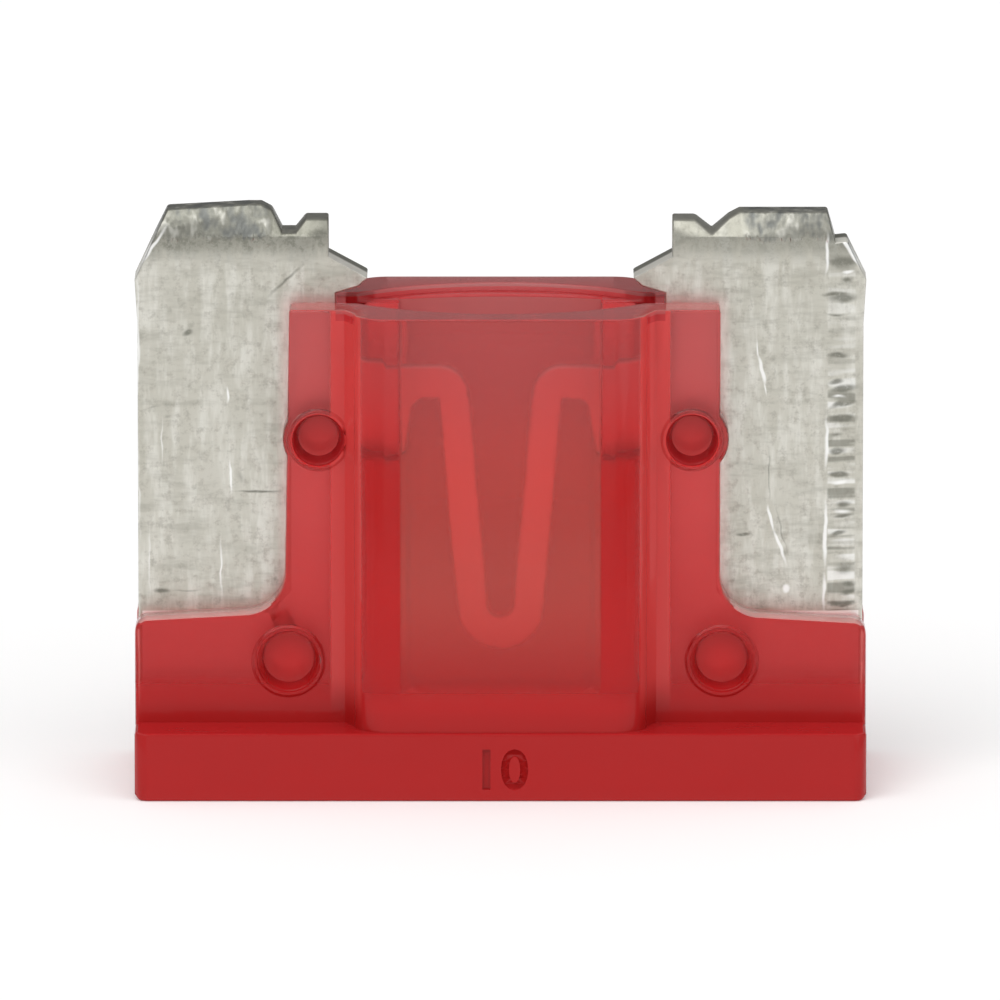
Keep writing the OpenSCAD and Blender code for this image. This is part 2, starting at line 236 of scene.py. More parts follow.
# %% The rating
RATING, RATING_SIZE, RATING_DEPTH, RATING_BOLD = "10", 0.84 * MM, 0.07 * MM, 0.018 * MM
RATING_Z = 0.2 * MM


def rating_cutter():
    curve = bpy.data.curves.new("rating", "FONT")
    curve.body, curve.size, curve.extrude, curve.offset = RATING, RATING_SIZE, RATING_DEPTH, RATING_BOLD
    curve.align_x, curve.resolution_u = "CENTER", 4
    text = bpy.data.objects.new("rating_text", curve)
    bpy.context.scene.collection.objects.link(text)
    mesh = bpy.data.meshes.new_from_object(text.evaluated_get(bpy.context.evaluated_depsgraph_get()))
    bpy.data.objects.remove(text)
    bm = bmesh.new()
    bm.from_mesh(mesh)
    bmesh.ops.remove_doubles(bm, verts=bm.verts, dist=WELD)
    for v in bm.verts:
        v.co = Vector((v.co.x, v.co.z, v.co.y))
    bmesh.ops.translate(bm, verts=bm.verts, vec=(0, cad_box[0][1], RATING_Z))
    bmesh.ops.recalc_face_normals(bm, faces=bm.faces)
    bm.to_mesh(mesh)
    bm.free()
    return mesh


def press_in(piece, cutter_mesh):
    cutter = bpy.data.objects.new("cutter", cutter_mesh)
    bpy.context.scene.collection.objects.link(cutter)
    cut = piece.modifiers.new("rating", "BOOLEAN")
    cut.operation, cut.solver, cut.object = "DIFFERENCE", "EXACT", cutter
    done = bpy.data.meshes.new_from_object(piece.evaluated_get(bpy.context.evaluated_depsgraph_get()))
    piece.modifiers.remove(cut)
    piece.data = done
    bpy.data.objects.remove(cutter)
    print("rating pressed in:", len(done.polygons), "faces")


press_in(shell, rating_cutter())
for piece in (shell, stamping):
    shade(piece)
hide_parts("housing")
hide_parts("fuse_element")
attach(shell, "root")
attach(stamping, "root")

# %% [markdown]
# The materials need sums on coordinates. Built node by node they would fill pages, so each of these helpers
# adds a node or a few and returns the output, and a sum reads from left to right. Object coordinates are
# scaled to millimetres first.

# %% Node helpers
def put(tree, kind, sockets=(), **settings):
    """Adds a node, sets its properties, and feeds its sockets from a value or another node's output."""
    made = tree.nodes.new(kind)
    for key, value in settings.items():
        setattr(made, key, value)
    for key, value in dict(sockets).items():
        if isinstance(value, bpy.types.NodeSocket):
            tree.links.new(value, made.inputs[key])
        else:
            made.inputs[key].default_value = value
    return made


def maths(tree, operation, *values):
    return put(tree, "ShaderNodeMath", enumerate(values), operation=operation).outputs[0]


def product(tree, first, *others):
    """The product of masks: 1 only where all of them are 1."""
    for other in others:
        first = maths(tree, "MULTIPLY", first, other)
    return first


def opposite(tree, mask):
    return maths(tree, "SUBTRACT", 1.0, mask)


def ramp(tree, value, low, high, to_low=0.0, to_high=1.0):
    """Goes smoothly from to_low at low to to_high at high."""
    return put(tree, "ShaderNodeMapRange", {"Value": value, "From Min": low, "From Max": high,
               "To Min": to_low, "To Max": to_high}, interpolation_type="SMOOTHSTEP").outputs["Result"]


def between(tree, value, low, high, soft):
    """1 between low and high, with soft edges outside them."""
    return product(tree, ramp(tree, value, low - soft, low), ramp(tree, value, high, high + soft, 1.0, 0.0))


def near(tree, value, centre, half, soft):
    """1 within half of centre, fading to 0 over soft."""
    away = maths(tree, "ABSOLUTE", maths(tree, "SUBTRACT", value, centre))
    return ramp(tree, away, half, half + soft, 1.0, 0.0)


def millimetres(tree):
    where = put(tree, "ShaderNodeTexCoord").outputs["Object"]
    scaled = put(tree, "ShaderNodeVectorMath", {0: where, "Scale": 1 / MM}, operation="SCALE")
    parts = put(tree, "ShaderNodeSeparateXYZ", {0: scaled.outputs["Vector"]})
    return scaled.outputs["Vector"], parts.outputs["X"], parts.outputs["Y"], parts.outputs["Z"]


def noise(tree, where, stretch, scale, detail=2.0, roughness=0.5, move=(0, 0, 0)):
    """Noise from 0 to 1, stretched along the axes with small numbers in stretch."""
    placed = put(tree, "ShaderNodeMapping", {"Vector": where, "Location": move, "Scale": stretch})
    return put(tree, "ShaderNodeTexNoise", {"Vector": placed.outputs["Vector"], "Scale": scale,
               "Detail": detail, "Roughness": roughness}).outputs["Fac"]


def mix_number(tree, share, a, b):
    """Goes from a to b as share goes from 0 to 1."""
    return put(tree, "ShaderNodeMix", {0: share, 2: a, 3: b}, data_type="FLOAT").outputs[0]


def blend(tree, share, a, b):
    """Mixes two colours."""
    mixed = put(tree, "ShaderNodeMix", data_type="RGBA")
    for key, value in ((0, share), (6, a), (7, b)):
        if isinstance(value, bpy.types.NodeSocket):
            tree.links.new(value, mixed.inputs[key])
        else:
            mixed.inputs[key].default_value = value
    return mixed.outputs[2]


def paint(tree, colour, layers):
    """Lays colours over a first one, each where its own mask is 1."""
    for mask, coat in layers:
        colour = blend(tree, mask, colour, coat)
    return colour


# %% [markdown]
# The housing is moulded from a clear red polymer with a little milkiness in it. One glass shader would let
# too much show, and one plain shader nothing, so each surface has a milky share from 0 for glass to 1 for a
# plain red body. The share and the milk's colour change from place to place. These masks find the places,
# from the coordinates, from the way a face points, and from whether light meets it from inside.

# %% Where a point of the plastic is
# The left and right halves mirror each other, but the punch stood a little to the right
STAKE_SHIFT, UPPER_STAKE, LOWER_STAKE = 0.07, (2.78, 0.0, 5.32), (3.23, 0.0, 1.96)
STAKE_R, STAKE_FADED_R = 0.37, 0.46
# The upright corners of the raised box, from the depth of the cheeks outwards
CORNER_SIDE, CORNER_HALF, CORNER_SOFT, CORNER_DEPTH = 2.3, 0.2, 0.06, 1.0
# The recess round the open mouth
MOUTH_SIDE, MOUTH_DEPTH, MOUTH_Z = 2.45, 1.34, 7.12
# A face points a certain way where its normal reaches this far along that axis
SQUARE_ON = 0.7


def stakes(tree, x, z):
    """1 on the four staked pins."""
    across = maths(tree, "ABSOLUTE", maths(tree, "SUBTRACT", x, STAKE_SHIFT))
    place = put(tree, "ShaderNodeCombineXYZ", {0: across, 2: z}).outputs[0]
    away = [put(tree, "ShaderNodeVectorMath", {0: place, 1: stake}, operation="DISTANCE").outputs["Value"]
            for stake in (UPPER_STAKE, LOWER_STAKE)]
    return ramp(tree, maths(tree, "MINIMUM", *away), STAKE_R, STAKE_FADED_R, 1.0, 0.0)


def places(tree, x, y, z):
    """The masks that the milkiness and the colour share. Side and depth count from the middle."""
    side, depth = maths(tree, "ABSOLUTE", x), maths(tree, "ABSOLUTE", y)
    geometry = put(tree, "ShaderNodeNewGeometry")
    normal = put(tree, "ShaderNodeSeparateXYZ", {0: geometry.outputs["True Normal"]})
    facing = maths(tree, "GREATER_THAN", maths(tree, "ABSOLUTE", normal.outputs["Y"]), SQUARE_ON)
    up = maths(tree, "GREATER_THAN", normal.outputs["Z"], SQUARE_ON)
    corner = product(tree, near(tree, side, CORNER_SIDE, CORNER_HALF, CORNER_SOFT),
                     maths(tree, "GREATER_THAN", depth, CORNER_DEPTH))
    inner = product(tree, maths(tree, "LESS_THAN", side, MOUTH_SIDE),
                    maths(tree, "LESS_THAN", depth, MOUTH_DEPTH))
    mouth = product(tree, maths(tree, "GREATER_THAN", z, MOUTH_Z), maths(tree, "MAXIMUM", inner, up))
    return {"side": side, "depth": depth, "z": z, "facing": facing, "up": up, "corner": corner,
            "inner": inner, "mouth": mouth, "stake": stakes(tree, x, z),
            "inward": geometry.outputs["Backfacing"], "rear": maths(tree, "GREATER_THAN", y, 0.0)}


print("staked pins at", UPPER_STAKE[::2], "and", LOWER_STAKE[::2], "mm")

# %% [markdown]
# A milky wall hides what is behind it, so the milk is shared out by what the eye should see:
#
# - the thick head is nearly all milk, and the walls get milkier towards it;
# - the skins that touch the metal or face it across the link chamber are clear, so that the metal shows;
# - light that leaves through the rear half meets more milk, so that the metal stands out before a darker
#   ground, and the chamber's rear wall is a milky screen behind the link;
# - the staked pins are milky, because the punch has crazed them.

# %% How milky it is there
SKIN_LOW, SKIN_HIGH, FOOT_MILK, CORNER_MILK, HEAD_MILK = 0.50, 0.28, 0.88, 0.80, 0.93
STAKE_MILK, DIMPLE_MILK, REAR_LOW, REAR_HIGH, MOUTH_MILK = 0.75, 0.95, 0.72, 0.50, 0.70
SLOT_MILK, SLOT_END_MILK, LEG_MILK = 0.04, 0.80, 0.75
SCREEN_LOW, SCREEN_HIGH, SCREEN_TOP = 0.75, 0.36, 0.65
# Heights in millimetres between which each share changes
SKIN_SPAN, FOOT_SPAN, REAR_SPAN, LEG_SPAN = (1.8, 4.6), (1.3, 2.3), (5.6, 6.9), (4.85, 5.3)
SCREEN_SPAN, SCREEN_TOP_SPAN, HEAD_SPAN = (2.0, 6.0), (6.1, 6.8), (1.0, 1.3)
SLOT_DEPTH, LEG_SIDE = 0.5, 2.41
CHAMBER_SIDE, CHAMBER_DEPTH, CHAMBER_Z = 1.53, 1.25, 1.2


def milk_share(tree, at):
    z, side, depth = at["z"], at["side"], at["depth"]
    foot = ramp(tree, z, *FOOT_SPAN, FOOT_MILK, 0.0)
    skin = maths(tree, "MAXIMUM", ramp(tree, z, *SKIN_SPAN, SKIN_LOW, SKIN_HIGH), foot)
    skin = mix_number(tree, at["corner"], skin, CORNER_MILK)
    skin = mix_number(tree, at["stake"], skin, mix_number(tree, at["facing"], DIMPLE_MILK, STAKE_MILK))
    leaving = product(tree, at["rear"], at["inward"], at["facing"])
    skin = mix_number(tree, leaving, skin, ramp(tree, z, *REAR_SPAN, REAR_LOW, REAR_HIGH))

    under_legs = product(tree, maths(tree, "LESS_THAN", side, LEG_SIDE),
                         ramp(tree, z, *LEG_SPAN, LEG_MILK, 0.0))
    slot = mix_number(tree, at["facing"], SLOT_END_MILK, maths(tree, "MAXIMUM", under_legs, SLOT_MILK))
    skin = mix_number(tree, maths(tree, "LESS_THAN", depth, SLOT_DEPTH), skin, slot)

    chamber = product(tree, maths(tree, "LESS_THAN", side, CHAMBER_SIDE),
                      maths(tree, "LESS_THAN", depth, CHAMBER_DEPTH),
                      maths(tree, "GREATER_THAN", z, CHAMBER_Z))
    milk = ramp(tree, z, *SCREEN_SPAN, SCREEN_LOW, SCREEN_HIGH)
    milk = mix_number(tree, ramp(tree, z, *SCREEN_TOP_SPAN), milk, SCREEN_TOP)
    screen = product(tree, at["rear"], opposite(tree, at["inward"]), milk)
    skin = mix_number(tree, chamber, skin, maths(tree, "MAXIMUM", screen, SLOT_MILK))
    skin = mix_number(tree, at["mouth"], skin, MOUTH_MILK)
    return mix_number(tree, ramp(tree, z, *HEAD_SPAN, 1.0, 0.0), skin, HEAD_MILK)


# %% [markdown]
# The milk isn't one red. It's darker in the head, with painted light on the head's upward faces. A painted
# sheen makes it pinkish grey on the mouth's rims and greyer towards the top of the walls, and painted light
# makes it pinkish grey in front of the chamber. Painted highlights lie on the box's upright corners, painted
# shade darkens the dimples' walls, and it is paler on the shoulders that face the light. Each coat goes over
# the ones before it.

# %% What colour the milk is
# Painted light and shade among these: the head's lighter upward faces, the corners' highlight, the dimples'
# shade, the rims' sheen, the pinkish grey in front of the chamber and the greyer pink towards the top
MILK_DARK, MILK_LIGHT, LOW_RED = (0.54, 0.010, 0.011, 1), (0.62, 0.016, 0.016, 1), (0.51, 0.011, 0.012, 1)
HEAD_RED, LIT_LEDGE_RED, CORNER_HIGHLIGHT_RED = (0.385, 0.012, 0.012, 1), (0.48, 0.017, 0.019, 1), (0.62, 0.058, 0.055, 1)
STAKE_RED, DIMPLE_SHADE_RED, RECESS_RED = (0.85, 0.028, 0.025, 1), (0.33, 0.010, 0.012, 1), (0.50, 0.028, 0.032, 1)
FRONT_RIM_SHEEN, REAR_RIM_SHEEN = (0.50, 0.085, 0.085, 1), (0.41, 0.062, 0.062, 1)
PAINTED_CHAMBER_LIGHT, TOP_SHEEN, LIT = (0.66, 0.115, 0.090, 1), (0.36, 0.135, 0.135, 1), (0.95, 0.51, 0.48, 1)
TOP_SHEEN_SHARE, STAKE_SHARE = 0.8, 0.4
LOW_SPAN, CHAMBER_LIGHT_SPAN, TOP_SHEEN_SPAN, HEAD_RED_SPAN = (2.0, 3.2), (1.2, 3.8), (4.6, 6.8), (1.1, 1.8)
CHAMBER_LIGHT_SIDES = (1.47, 1.5)
RECESS_Z, SHOULDER_Z, SHOULDER_HALF, SHOULDER_SOFT = 7.22, 2.7, 0.45, 0.05


def milk_colour(tree, ripple, at):
    z, mouth, stake = at["z"], at["mouth"], at["stake"]
    # Painted light: a paler pinkish grey in front of the link chamber, growing upwards from its bottom,
    # stands in for the light that comes out of the chamber through the front wall
    chamber_light = product(tree, ramp(tree, at["side"], *CHAMBER_LIGHT_SIDES, 1.0, 0.0), ramp(tree, z, *CHAMBER_LIGHT_SPAN))
    recess = product(tree, mouth, maths(tree, "LESS_THAN", z, RECESS_Z), at["inner"])
    shoulders = product(tree, near(tree, z, SHOULDER_Z, SHOULDER_HALF, SHOULDER_SOFT), at["up"])
    colour = paint(tree, blend(tree, ripple, MILK_DARK, MILK_LIGHT), (
        (ramp(tree, z, *LOW_SPAN, 1.0, 0.0), LOW_RED),
        (chamber_light, PAINTED_CHAMBER_LIGHT),
        # Painted sheen: a greyer pink over the upper walls, growing towards the top
        (ramp(tree, z, *TOP_SHEEN_SPAN, 0.0, TOP_SHEEN_SHARE), TOP_SHEEN),
        # Painted highlight: a paler, pinker red down the box's upright corners
        (at["corner"], CORNER_HIGHLIGHT_RED),
        (product(tree, stake, STAKE_SHARE), STAKE_RED),
        # Painted shade: a dark red on the pins' faces that don't point forwards or back, the walls of their
        # dimples
        (product(tree, stake, opposite(tree, at["facing"])), DIMPLE_SHADE_RED),
        # Painted sheen: pinkish grey on the mouth's front rim and on the rear rim's top
        (product(tree, mouth, opposite(tree, at["rear"])), FRONT_RIM_SHEEN),
        (product(tree, mouth, at["rear"], at["up"]), REAR_RIM_SHEEN),
        (recess, RECESS_RED),
        (shoulders, LIT)))
    # Painted light: the head's upward faces, the ledge among them, get a lighter red than the rest of the
    # head
    head = blend(tree, at["up"], HEAD_RED, LIT_LEDGE_RED)
    return blend(tree, ramp(tree, z, *HEAD_RED_SPAN, 1.0, 0.0), colour, head)


# %% [markdown]
# The clear part is glass to the shader, and the red inside it deepens with depth, which is what a Volume
# Absorption does. Both parts share a faint ripple, as a mould's wall leaves it, and a gloss that varies.

# %% Red plastic
RIPPLE_STRETCH, RIPPLE_SCALE, RIPPLE_HEIGHT, GRAIN_SCALE = (1, 1, 0.6), 1.6, 0.012 * MM, 14.0
GLOSS_LEVELS, FROST_DEPTHS = (0.35, 0.7, 0.10, 0.17), (1.2, 1.3, 0.06, 0.0)
CLEAR_TINT, CLEAR_IOR, MILKY_IOR, MILKY_SPECULAR = (1.0, 0.95, 0.95, 1), 1.36, 1.5, 0.2
INNER_RED, INNER_DENSITY = (0.985, 0.03, 0.045, 1), 1600.0


def red_plastic():
    material = bpy.data.materials.new("red_polymer")
    material.use_nodes = True
    tree = material.node_tree
    tree.nodes.clear()
    where, x, y, z = millimetres(tree)
    at = places(tree, x, y, z)
    ripple = noise(tree, where, RIPPLE_STRETCH, RIPPLE_SCALE)
    grain = noise(tree, where, (1, 1, 1), GRAIN_SCALE, detail=0.0)
    normal = put(tree, "ShaderNodeBump", {"Height": ripple, "Strength": 1.0, "Distance": RIPPLE_HEIGHT})
    gloss = ramp(tree, grain, *GLOSS_LEVELS)
    frosted = maths(tree, "ADD", gloss, ramp(tree, at["depth"], *FROST_DEPTHS))
    clear = put(tree, "ShaderNodeBsdfPrincipled", {"Base Color": CLEAR_TINT, "IOR": CLEAR_IOR,
                "Roughness": frosted, "Transmission Weight": 1.0, "Normal": normal.outputs[0]})
    milky = put(tree, "ShaderNodeBsdfPrincipled", {"Base Color": milk_colour(tree, ripple, at),
                "Roughness": gloss, "IOR": MILKY_IOR, "Specular IOR Level": MILKY_SPECULAR,
                "Normal": normal.outputs[0]})
    surface = put(tree, "ShaderNodeMixShader", {0: milk_share(tree, at), 1: clear.outputs[0],
                  2: milky.outputs[0]})
    inside = put(tree, "ShaderNodeVolumeAbsorption", {"Color": INNER_RED, "Density": INNER_DENSITY})
    put(tree, "ShaderNodeOutputMaterial", {"Surface": surface.outputs[0], "Volume": inside.outputs[0]})
    return material


# %% [markdown]
# The blades carry the scratches of handling. A painted picture could hold them, but lines with real places
# stay sharp at any size. Each is one row of a table: the x and z of its two ends in the front view, its half
# width, and how strong it is. Most of the dark ones are the ladder of marks that the die left down the
# coined strip of the right blade. Some bright rows are painted highlights, not scratches: the lines down the
# blades' outer edges and chamfers, down the edge of the coined strip, and beside the die marks on it.

# %% Scratches and painted highlight lines
# Bright scratches, and painted highlights along the outer edges, the chamfers, the coined strip's edge and
# beside its die marks
BRIGHT_LINES = (
    (-4.03, 4.88, -4.03, 4.39, 0.022, 1.00), (-4.07, 6.02, -4.07, 5.77, 0.020, 0.80),
    (-5.04, 5.58, -5.04, 4.74, 0.015, 0.45),
    (-4.17, 3.75, -4.17, 2.76, 0.020, 0.60), (-5.29, 3.98, -5.20, 2.76, 0.020, 0.40),
    (3.81, 6.75, 3.87, 6.38, 0.018, 0.60),
    (3.86, 6.47, 3.95, 6.05, 0.030, 1.00), (3.93, 6.11, 3.98, 5.84, 0.016, 0.60),
    (3.99, 4.21, 4.08, 3.83, 0.022, 1.00), (4.08, 3.86, 4.25, 3.33, 0.028, 1.00),
    (4.25, 2.92, 4.28, 2.95, 0.060, 1.00),
    (4.86, 8.30, 4.86, 7.69, 0.026, 0.80),
    (4.86, 5.56, 4.85, 4.74, 0.030, 0.80), (4.85, 4.28, 4.84, 3.28, 0.032, 1.00),
    (4.84, 3.19, 4.84, 2.58, 0.028, 0.80), (5.01, 8.37, 5.38, 7.77, 0.035, 1.00),
    (-4.99, 8.42, -5.41, 7.78, 0.030, 0.90), (-5.40, 7.81, -5.40, 5.50, 0.025, 0.60),
    (-5.40, 5.65, -5.40, 3.37, 0.025, 0.40), (4.95, 5.84, 5.14, 5.85, 0.030, 0.60),
    (4.96, 4.53, 5.16, 4.56, 0.030, 0.70),
    (4.98, 4.10, 5.23, 4.13, 0.030, 0.60),
    (5.10, 7.74, 5.25, 7.74, 0.030, 0.80)
)
DARK_LINES = (
    (-3.48, 7.34, -2.92, 7.86, 0.030, 0.60), (-3.96, 4.38, -3.25, 4.44, 0.020, 0.80),
    (-3.93, 4.73, -3.81, 4.56, 0.070, 0.35),
    (-4.72, 6.81, -4.63, 6.85, 0.045, 0.90),
    (-5.17, 2.90, -4.96, 2.92, 0.045, 0.80), (-4.99, 2.92, -4.41, 2.89, 0.020, 0.40),
    (-5.29, 5.68, -5.08, 5.71, 0.020, 0.35),
    (3.51, 3.75, 3.74, 3.77, 0.030, 0.90), (4.01, 5.11, 4.01, 4.25, 0.016, 0.50),
    (4.08, 4.28, 4.31, 3.37, 0.015, 0.40),
    (4.92, 8.30, 5.22, 8.12, 0.120, 0.55),
    (4.90, 7.90, 5.29, 7.90, 0.100, 0.90), (5.10, 7.63, 5.23, 7.63, 0.045, 0.70),
    (4.80, 7.42, 5.26, 7.39, 0.040, 0.80), (4.95, 7.36, 5.28, 7.34, 0.080, 0.90),
    (4.87, 7.08, 5.14, 7.10, 0.030, 0.60), (4.90, 6.47, 5.16, 6.49, 0.045, 0.90),
    (4.90, 6.08, 5.11, 6.08, 0.040, 0.90), (4.92, 5.94, 5.29, 5.99, 0.060, 1.00),
    (4.93, 5.70, 5.29, 5.77, 0.045, 1.00), (4.90, 5.49, 5.28, 5.53, 0.065, 1.00),
    (4.93, 5.27, 5.10, 5.29, 0.030, 0.50), (4.92, 5.03, 5.11, 5.04, 0.055, 1.00),
    (4.92, 4.66, 5.16, 4.66, 0.050, 1.00), (5.04, 4.19, 5.22, 4.22, 0.045, 0.80),
    (4.98, 4.03, 5.23, 4.07, 0.030, 0.80), (4.95, 3.75, 5.14, 3.78, 0.040, 0.90),
    (5.04, 3.25, 5.26, 3.25, 0.090, 0.60), (5.13, 3.02, 5.26, 3.01, 0.050, 0.80),
    (5.10, 2.87, 5.26, 2.90, 0.045, 0.80), (4.93, 2.69, 5.26, 2.73, 0.045, 1.00)
)
# A blob reaches a little past its row's ends and width, because it fades there
END_REACH, WIDTH_REACH, FULL_STRENGTH = 0.6, 1.3, 0.65
# A line that slants more than this is turned by a Mapping node, which takes it right through the blade
SLANT, THROUGH = 0.25, 1000


def scratch(tree, where, x0, z0, x1, z1, width, strength):
    """A long thin blob along a line of the front view: strength on the line, and 0 just past it."""
    middle = ((x0 + x1) / 2, 0, (z0 + z1) / 2)
    along, across = math.hypot(x1 - x0, z1 - z0) * END_REACH + width, width * WIDTH_REACH
    turn = math.atan2(z0 - z1, x1 - x0)
    if abs(math.sin(2 * turn)) > SLANT:
        laid = put(tree, "ShaderNodeMapping", {"Vector": where, "Location": middle, "Rotation": (0, turn, 0),
                   "Scale": (along, THROUGH, across)}, vector_type="TEXTURE").outputs[0]
    else:
        reach = (along, across) if abs(x1 - x0) > abs(z1 - z0) else (across, along)
        laid = put(tree, "ShaderNodeVectorMath", {0: where, 1: (1 / reach[0], 0, 1 / reach[1]),
                   2: (-middle[0] / reach[0], 0, -middle[2] / reach[1])}, operation="MULTIPLY_ADD").outputs[0]
    away = put(tree, "ShaderNodeVectorMath", {0: laid}, operation="LENGTH").outputs["Value"]
    return maths(tree, "MULTIPLY_ADD", away, -strength, strength)


def scratches(tree, where, rows):
    result = scratch(tree, where, *rows[0])
    for row in rows[1:]:
        result = maths(tree, "MAXIMUM", result, scratch(tree, where, *row))
    return ramp(tree, result, 0.0, FULL_STRENGTH)


print(len(BRIGHT_LINES), "bright and", len(DARK_LINES), "dark scratches")

# %% [markdown]
# The metal is rolled zinc strip, with fine streaks along and across it, pits, clouds of oxide, and tips that
# a coining tool has hammered and soiled, with painted shade in the dirt's colour over their bevels at the
# top. One noise texture makes each of these patterns, because no two blades have the same, and masks keep
# each kind of wear, and the painted shade, to its place.

# %% Where the metal is worn
# Stretch, scale, detail, roughness and shift of each pattern's noise
PATTERNS = {
    "along": ((1, 0.3, 0.22), 5.0, 3.0, 0.7, (0, 0, 0)),
    "across": ((0.25, 0.3, 1), 5.0, 3.0, 0.7, (0, 0, 0)),
    "clouds": ((1, 1, 0.7), 0.8, 2.0, 0.5, (0, 0, 0)),
    "rungs": ((0.9, 0.3, 8.0), 1.0, 1.0, 0.5, (0, 0, 2)),
    "pits": ((1, 1, 1), 7.0, 3.0, 0.75, (0, 0, 0)),
    "hammered": ((1, 1, 0.45), 4.5, 2.0, 0.6, (3, 0, 1)),
}
# From where to where across the picture each coined tip runs and how softly it ends, where they begin, and
# how far that ragged edge wanders up and down
LEFT_TIP, RIGHT_TIP, TIP_SPAN, RAGGED = (-5.2, -3.5, 0.12), (3.72, 4.9, 0.15), (8.2, 8.3), 0.5
# The first span fades in the dirt near the tips; the second paints shade over the bevel faces at the very
# top. The last pair weakens the dirt and that painted shade towards the right
SOIL_SPAN, BEVEL_SHADE_SPAN, SOIL_AND_SHADE_SIDES = (7.85, 8.2), (8.24, 8.3, 0.0, 0.9), (-3.0, 3.0, 1.0, 0.75)
# The pits break up the dirt near the tips, and the dark scratches
SOIL_BREAKS, SCRATCH_BREAKS = (0.38, 0.58, 1.0, 0.7), (0.3, 0.5, 0.7, 1.0)
# No scratch is quite straight
WOBBLE_SCALE, WOBBLE = 3.5, (0.09, 0.0, 0.09)
# The coined strip of the right blade, the sheared edges, and the glow beside the cheeks
STRIP, STRIP_FADE = (4.9, 5.27, 0.04), (5.8, 6.6, 1.0, 0.35)
CUT_UP, CUT_SPAN = (0.4, 0.6), (8.2, 8.25)
HOUSING_MIDDLE, GLOW_SIDES, GLOW_SPAN, GLOW_SHARE = 0.05, (3.21, 3.42), (7.2, 7.5), 0.55


def wear(tree, where, x, y, z, pattern):
    """Masks of 0 to 1 for the marked places. The fine ones are on the front only."""
    front = maths(tree, "LESS_THAN", y, 0.0)
    ragged = maths(tree, "ADD", z, maths(tree, "MULTIPLY_ADD", pattern["along"], RAGGED, -RAGGED / 2))
    tips = maths(tree, "MAXIMUM", between(tree, x, *LEFT_TIP), between(tree, x, *RIGHT_TIP))
    soil_and_shade = product(tree, ramp(tree, ragged, *SOIL_SPAN), ramp(tree, pattern["pits"], *SOIL_BREAKS))
    # Painted shade: the bevel faces at the very top are darkened with the dirt's colour
    soil_and_shade = maths(tree, "MAXIMUM", soil_and_shade, ramp(tree, ragged, *BEVEL_SHADE_SPAN))

    wobble = put(tree, "ShaderNodeTexNoise", {"Vector": where, "Scale": WOBBLE_SCALE, "Detail": 1.0})
    wobble = put(tree, "ShaderNodeVectorMath", {0: wobble.outputs["Color"], 1: (0.5, 0.5, 0.5)},
                 operation="SUBTRACT").outputs[0]
    bent = put(tree, "ShaderNodeVectorMath", {0: wobble, 1: WOBBLE, 2: where},
               operation="MULTIPLY_ADD").outputs[0]

    normal = put(tree, "ShaderNodeNewGeometry").outputs["True Normal"]
    up = ramp(tree, put(tree, "ShaderNodeSeparateXYZ", {0: normal}).outputs["Z"], *CUT_UP)
    middle = maths(tree, "ABSOLUTE", maths(tree, "SUBTRACT", x, HOUSING_MIDDLE))
    return {
        "tip": product(tree, tips, ramp(tree, ragged, *TIP_SPAN)),
        "soil_and_shade": product(tree, soil_and_shade, ramp(tree, x, *SOIL_AND_SHADE_SIDES)),
        # Bright scratches and painted highlight lines
        "bright": product(tree, scratches(tree, bent, BRIGHT_LINES), front),
        "dark": product(tree, scratches(tree, bent, DARK_LINES), front,
                        ramp(tree, pattern["pits"], *SCRATCH_BREAKS)),
        "ladder": product(tree, between(tree, x, *STRIP), ramp(tree, z, *STRIP_FADE), front),
        "cut": product(tree, up, ramp(tree, z, *CUT_SPAN, 1.0, 0.0)),
        "glow": product(tree, ramp(tree, middle, *GLOW_SIDES, GLOW_SHARE, 0.0),
                        ramp(tree, z, *GLOW_SPAN, 1.0, 0.0), front),
        "middle": middle,
    }


# %% [markdown]
# The zinc's colour starts as cloudy grey, and each coat lays one more kind of wear over it; two coats also
# paint shade over the tips' bevels and highlights along edges and die marks. A sheared edge is burnished
# where the punch went in and torn where it came out. Beside the cheeks the red plastic throws a faint pink
# glow on the metal.

# %% What colour the metal is
CLOUD_DARK, CLOUD_LIGHT = (0.50, 0.485, 0.415, 1), (0.66, 0.645, 0.58, 1)
STREAK, CROSS_STREAK, PIT = (0.82, 0.81, 0.75, 1), (0.34, 0.33, 0.28, 1), (0.30, 0.29, 0.25, 1)
# The dirt's colour also serves as painted shade over the tips' bevels
HAMMERED, SOIL_AND_SHADE, PINK_GLOW = (0.160, 0.165, 0.155, 1), (0.235, 0.233, 0.195, 1), (0.92, 0.74, 0.69, 1)
# Between the two depths a sheared edge goes from burnished to torn
BURNISHED, TORN, TEAR_DEPTHS = (0.80, 0.79, 0.73, 1), (0.20, 0.20, 0.17, 1), (-0.05, 0.1)
# The light one also paints highlights along edges and beside the die marks
SCRATCH_DARK, BRIGHT_MARK_AND_HIGHLIGHT = (0.17, 0.17, 0.14, 1), (1.0, 1.0, 0.98, 1)
DARK_SHARE, BRIGHT_SHARE = 0.8, 0.85
# The two levels of its noise between which each pattern changes, and how strongly it shows at each
STREAKS_SHOW, CROSS_STREAKS_SHOW = (0.40, 0.72, 0.0, 0.6), (0.44, 0.76, 0.0, 0.45)
PITS_SHOW, DENTS_SHOW, FACETS_SHOW = (0.48, 0.76, 0.0, 0.45), (0.34, 0.56, 1.0, 0.2), (0.54, 0.70, 0.0, 0.4)
DARK_RUNGS_SHOW, BRIGHT_RUNGS_SHOW = (0.5, 0.66, 0.0, 0.6), (0.34, 0.5, 0.6, 0.0)


